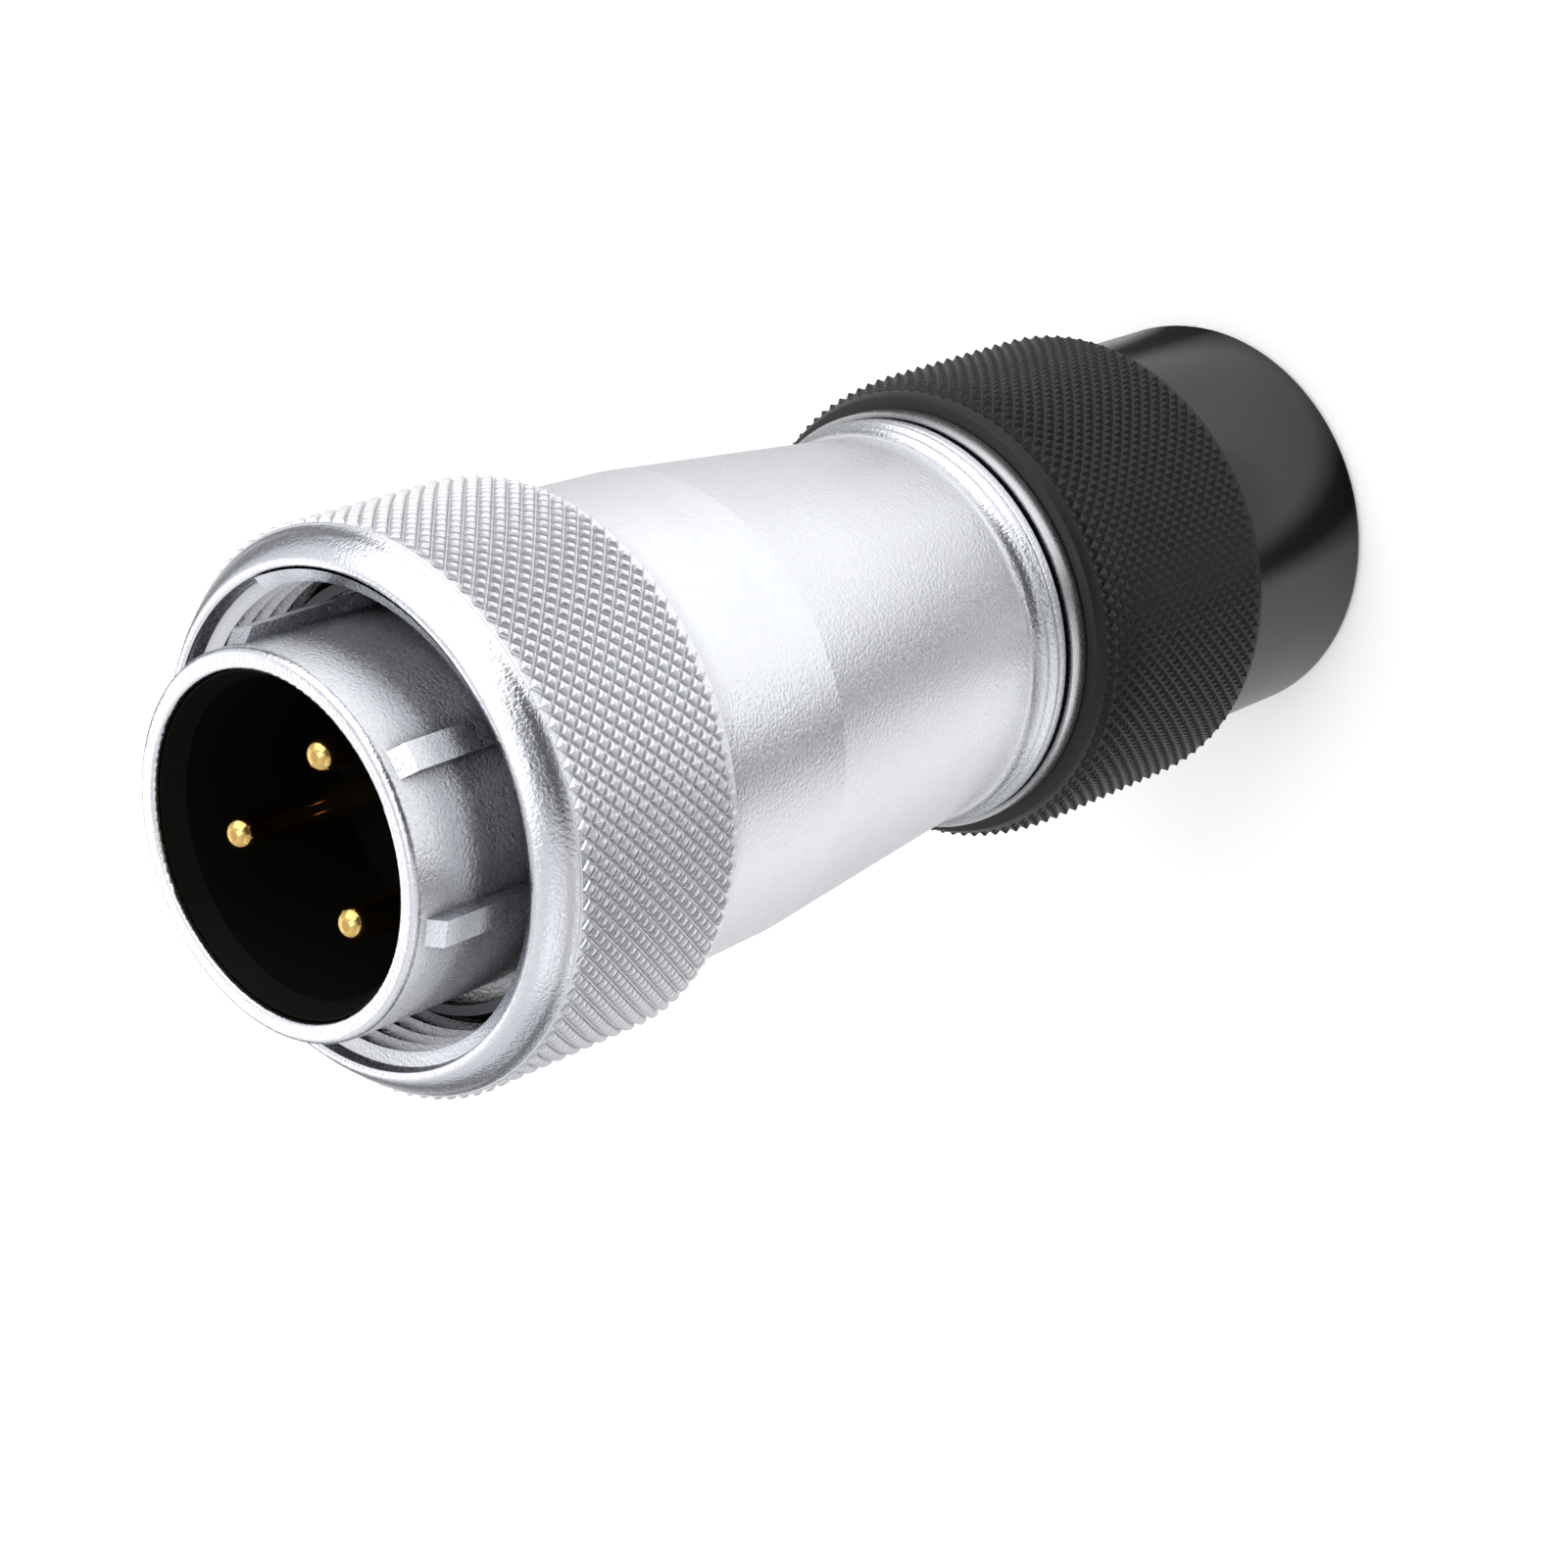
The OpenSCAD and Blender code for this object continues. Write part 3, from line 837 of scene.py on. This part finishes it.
@dataclass
class ClampingNut:
    """The black clamping nut.

    Attributes:
        MOUTH_EDGE: Edge of the front face, from the flat face's rim.
        REAR_EDGE: Edge of the rear face, from the land's rim.
        back: Height of the rear face, in millimetres.
        front: Height of the front face, in millimetres.
        radius: Outer radius over the knurl, in millimetres.
        core: Radius of the body under the knurl, in millimetres.
        land: Radius of the smooth rear end, in millimetres.
        knurl_back: Length from the rear face to the knurl, in millimetres.
        knurl_front: Length from the front face to the knurl, in millimetres.
        sink: How far the knurl's diamonds start under the outer radius, in millimetres.
        tuck: How far the knurl's ends reach into the body, in millimetres.
        nose: Length of the rounded front, in millimetres.
        fall: How much the rounded front narrows, in millimetres.
        mouth: Radius of the flat front face, in millimetres.
        bore: Radius of the inner thread, in millimetres.
        step: Length of the smooth rear end, in millimetres.
        bevel: Chamfer of the inner rear edge, in millimetres.
        lip: Length of the rear lip, in millimetres.
        lip_bore: Radius of the lip's bore, in millimetres.
    """

    MOUTH_EDGE: ClassVar[tuple[tuple[float, float], ...]] = (
        (0.0, 0.0), (0.40, -0.12), (0.62, -0.45), (0.76, -0.95), (0.50, -1.25),
    )
    REAR_EDGE: ClassVar[tuple[tuple[float, float], ...]] = ((-0.1, 0.7), (-0.3, 0.2), (-0.6, 0.0))

    back: float
    front: float
    radius: float = 17.7
    core: float = 17.0
    land: float = 17.35
    knurl_back: float = 0.65
    knurl_front: float = 0.55
    sink: float = 0.32
    tuck: float = 0.2
    nose: float = 5.0
    fall: float = 1.25
    mouth: float = 16.0
    bore: float = 14.3
    step: float = 0.75
    bevel: float = 0.2
    lip: float = 2.5
    lip_bore: float = 12.6

    def body(self) -> bpy.types.Object:
        """Turns the nut's body.

        Returns:
            The new piece.
        """
        profile = [
            (self.bore, self.back + self.lip),
            (self.bore, self.front),
            *Bench.edge(self.mouth, self.front, self.MOUTH_EDGE),
            (self.core, self.front - self.nose),
            (self.core, self.back + self.step),
            *Bench.edge(self.land, self.back, self.REAR_EDGE),
            (self.lip_bore + self.bevel, self.back),
            (self.lip_bore, self.back + self.bevel),
            (self.lip_bore, self.back + self.lip),
        ]
        return Bench.lathe("clamping_nut_body", profile)

    def knurl(self) -> Knurl:
        """Sets out the peaked knurl.

        Returns:
            The knurl.
        """
        return Knurl(
            name="clamping_nut_knurl",
            radius=self.radius - self.sink,
            core=self.core - self.tuck,
            bottom=self.back + self.knurl_back,
            top=self.front - self.knurl_front,
            count=104,
            rows=16,
            style=KnurlStyle.PEAKED,
            rib=0.05,
            slope=0.27,
            depth=0.30,
            nose=self.fall,
            nose_rows=4,
        )

    def build(self, finishes: Finishes) -> None:
        """Builds, dresses and mounts the nut.

        Args:
            finishes: The finishes.
        """
        body = self.body()
        for piece in (body, self.knurl().build()):
            finishes.dress(piece, "black_matte")
            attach(piece, "clamping_nut")
        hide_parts("clamping_nut")


@dataclass
class Studio:
    """Floor, lamps, world and camera.

    Attributes:
        PAINTED_REFLECTION_TONES: Painted reflection tones on the floor round the part, seen only in the metal's
            reflections: share of a turn, level.
        LAMPS: Name, place in metres, side in metres and power in watts of each lamp.
        FLOOR_WHITE: Colour of the floor as the camera sees it.
        ROOM_TINT: Tint of the room that the metal reflects.
        ROOM_TONES: Tone of the room that the metal reflects: place along the lean, level.
        floor_size: Side of the floor in metres.
        floor_gap: How far the floor lies under the part, in metres.
        floor_roughness: Roughness of the floor.
        floor_specular: Specular level of the floor.
        floor_lift: Glow of the floor as the camera sees it.
        floor_glow: Glow of the painted reflection tones, as the metal reflects them.
        tone_centre: Point of the floor that the tones turn round, in metres.
        reflection_fade: Distances between which the painted reflection tones fade, in metres.
        far_tone: Share of the tone that is left far away.
        strip_across: Direction across the painted dark strip on the floor, which puts a dark reflected band on the
            glossy sleeve.
        strip_offset: Distance of the strip's middle from the axis, in metres.
        strip_edge: Half widths between which the strip fades, in metres.
        strip_tone: Share of the tone that is left in the painted dark strip.
        strip_end: Distances from the axis between which the strip ends, in metres.
        room_lean: Direction in which the reflected room gets lighter.
        lens: Focal length of the camera in millimetres.
        sensor: Width of the camera's sensor in millimetres.
        clip: Nearest and farthest distance that the camera sees, in metres.
        camera_place: Place of the camera in metres.
        camera_forward: Direction in which the camera looks.
        camera_up: Direction that is up for the camera.
        aim: Point that the lamps face, in metres.
    """

    PAINTED_REFLECTION_TONES: ClassVar[tuple[tuple[float, float], ...]] = (
        (0.0, 0.80), (0.035, 0.78), (0.06, 0.40), (0.075, 0.10), (0.09, 0.16), (0.115, 0.95),
        (0.20, 1.0), (0.50, 1.0), (0.62, 0.80), (0.75, 0.60), (0.90, 0.72), (1.0, 0.80),
    )
    ROOM_TONES: ClassVar[tuple[tuple[float, float], ...]] = (
        (0.0, 0.10), (0.12, 0.14), (0.35, 0.68), (0.60, 0.74), (1.0, 0.74),
    )
    LAMPS: ClassVar[tuple[tuple[str, tuple[float, float, float], float, float], ...]] = (
        ("key", (0.55, -0.25, 0.35), 0.90, 3.8),
        ("front", (0.05, -0.25, 0.75), 0.35, 0.7),
        ("low", (-0.50, -0.30, 0.15), 0.70, 0.8),
        ("back", (0.10, 0.60, 0.35), 0.60, 0.5),
    )
    FLOOR_WHITE: ClassVar[tuple[float, float, float, float]] = (0.82, 0.82, 0.82, 1.0)
    ROOM_TINT: ClassVar[tuple[float, float, float]] = (0.96, 0.985, 1.04)
    floor_size: float = 6.0
    floor_gap: float = 0.0001
    floor_roughness: float = 0.9
    floor_specular: float = 0.1
    floor_lift: float = 0.43
    floor_glow: float = 0.05
    tone_centre: tuple[float, float] = (0.032, -0.024)
    reflection_fade: tuple[float, float] = (0.12, 0.32)
    far_tone: float = 0.2
    strip_across: tuple[float, float, float] = (0.55, -0.84, 0.0)
    strip_offset: float = 0.0126
    strip_edge: tuple[float, float] = (0.0012, 0.004)
    strip_tone: float = 0.08
    strip_end: tuple[float, float] = (0.032, 0.042)
    room_lean: tuple[float, float, float] = (0.0, 0.5, 1.0)
    lens: float = 89.0
    sensor: float = 36.0
    clip: tuple[float, float] = (0.01, 20.0)
    camera_place: tuple[float, float, float] = (0.00004, -0.19425, 0.2449)
    camera_forward: tuple[float, float, float] = (-0.02898, 0.71301, -0.70055)
    camera_up: tuple[float, float, float] = (0.94086, -0.21721, -0.25999)
    aim: tuple[float, float, float] = (0.0, 0.0, 0.05)

    def floor(self) -> None:
        """Lays the plain pale floor, which the camera sees white and the metal sees with painted reflection tones."""
        Bench.clear()
        bpy.ops.mesh.primitive_plane_add(size=self.floor_size, location=(0, 0, -self.floor_gap))
        floor = bpy.context.object
        floor.name = "floor"
        mat = bpy.data.materials.new("floor_white")
        mat.use_nodes = True
        wires = Wires(mat.node_tree)
        shader = wires.nodes["Principled BSDF"]
        shader.inputs["Roughness"].default_value = self.floor_roughness
        shader.inputs["Specular IOR Level"].default_value = self.floor_specular
        # Camera rays see plain white; all other rays see painted reflection tones, so the metal reflects painted dark
        # bands.
        seen = wires.nodes.new("ShaderNodeLightPath").outputs["Is Camera Ray"]
        pick = wires.nodes.new("ShaderNodeMix")
        pick.data_type = "RGBA"
        pick.inputs[MIX_B].default_value = self.FLOOR_WHITE
        wires.feed(seen, pick.inputs[MIX_FACTOR])
        wires.feed(self.painted_reflection_tone(wires), pick.inputs[MIX_A])
        for name in ("Base Color", "Emission Color"):
            wires.feed(pick.outputs[MIX_RESULT], shader.inputs[name])
        glow = wires.number("MULTIPLY_ADD", seen, self.floor_lift - self.floor_glow, self.floor_glow)
        wires.feed(glow, shader.inputs["Emission Strength"])
        floor.data.materials.append(mat)
        floor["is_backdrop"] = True

    def painted_reflection_tone(self, wires: Wires) -> bpy.types.NodeSocket:
        """Makes the painted reflection tones of the floor, which only reflected rays see.

        Args:
            wires: The nodes of the floor's material.

        Returns:
            The colour: painted tones round a point, darker far away and in a painted dark strip beside the sleeve.
        """
        place = wires.nodes.new("ShaderNodeTexCoord").outputs["Object"]
        angle = wires.nodes.new("ShaderNodeTexGradient")
        angle.gradient_type = "RADIAL"
        wires.feed(wires.vector("SUBTRACT", place, (*self.tone_centre, 0.0)), angle.inputs["Vector"])
        tone = wires.ramp(angle.outputs["Fac"], self.PAINTED_REFLECTION_TONES, (1.0, 1.0, 1.0))
        away = wires.vector("LENGTH", place)
        tone = wires.scale(tone, wires.remap(away, self.reflection_fade, 1.0, self.far_tone))
        across = wires.number("SUBTRACT", wires.vector("DOT_PRODUCT", place, self.strip_across), self.strip_offset)
        edge = wires.remap(wires.number("ABSOLUTE", across), self.strip_edge, self.strip_tone, 1.0)
        return wires.scale(tone, wires.number("MAXIMUM", edge, wires.remap(away, self.strip_end, 0.0, 1.0)))

    def lamp(self, name: str, place: tuple[float, float, float], size: float, power: float) -> None:
        """Adds a soft square lamp that faces the middle of the part.

        Args:
            name: Name of the lamp.
            place: Its place in metres.
            size: Its side in metres.
            power: Its power in watts.
        """
        bpy.ops.object.light_add(type="AREA", location=place)
        lamp = bpy.context.object
        lamp.name = name
        lamp.data.shape = "SQUARE"
        lamp.data.size = size
        lamp.data.energy = power
        towards = Vector(self.aim) - Vector(place)
        lamp.rotation_euler = towards.to_track_quat("-Z", "Y").to_euler()

    def world(self) -> None:
        """Makes a white backdrop for the camera and a soft grey room for reflections."""
        world = bpy.data.worlds.new("studio")
        bpy.context.scene.world = world
        world.use_nodes = True
        wires = Wires(world.node_tree)
        room, seen = wires.nodes["Background"], wires.nodes.new("ShaderNodeBackground")
        place = wires.nodes.new("ShaderNodeTexCoord").outputs["Generated"]
        lean = wires.vector("DOT_PRODUCT", place, self.room_lean)
        wires.feed(wires.ramp(lean, self.ROOM_TONES, self.ROOM_TINT), room.inputs["Color"])
        seen.inputs["Color"].default_value = (1.0, 1.0, 1.0, 1.0)
        path, mix = wires.nodes.new("ShaderNodeLightPath"), wires.nodes.new("ShaderNodeMixShader")
        wires.feed(path.outputs["Is Camera Ray"], mix.inputs["Fac"])
        wires.feed(room.outputs["Background"], mix.inputs[1])
        wires.feed(seen.outputs["Background"], mix.inputs[2])
        wires.feed(mix.outputs["Shader"], wires.nodes["World Output"].inputs["Surface"])

    def camera(self) -> None:
        """Sets the camera in front of the part, looking down at it."""
        forward, up = Vector(self.camera_forward).normalized(), Vector(self.camera_up).normalized()
        right = forward.cross(up).normalized()
        up = right.cross(forward)
        turn = Matrix((right, up, -forward)).transposed()
        bpy.ops.object.camera_add(location=self.camera_place, rotation=turn.to_euler())
        camera = bpy.context.object
        camera.data.lens = self.lens
        camera.data.sensor_width = self.sensor
        camera.data.clip_start, camera.data.clip_end = self.clip
        bpy.context.scene.camera = camera

    def build(self) -> None:
        """Builds the studio."""
        self.floor()
        for name, place, size, power in self.LAMPS:
            self.lamp(name, place, size, power)
        self.world()
        self.camera()
        bpy.context.scene.view_settings.view_transform = "Standard"


def write_size(when: str, sizes: dict[str, list[list[float]]]) -> None:
    """Args:
        when: Name of the moment.
        sizes: The bounds so far.
    """
    low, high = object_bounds()
    sizes[when] = [list(low), list(high)]


def main() -> None:
    """Loads the frame and builds the scene."""
    logging.basicConfig(level=logging.INFO, format="%(message)s")
    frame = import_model()
    sizes: dict[str, list[list[float]]] = {}
    write_size("before", sizes)
    finishes = Finishes()
    finishes.dress_frame(frame)
    CouplingNut(*Bench.ends("coupling_nut")).build(finishes)
    back, front = Bench.ends("clamping_nut")
    ClampingNut(back, front - WASHER_SHOWS).build(finishes)
    write_size("after", sizes)
    Studio().build()


if __name__ == "__main__":
    main()
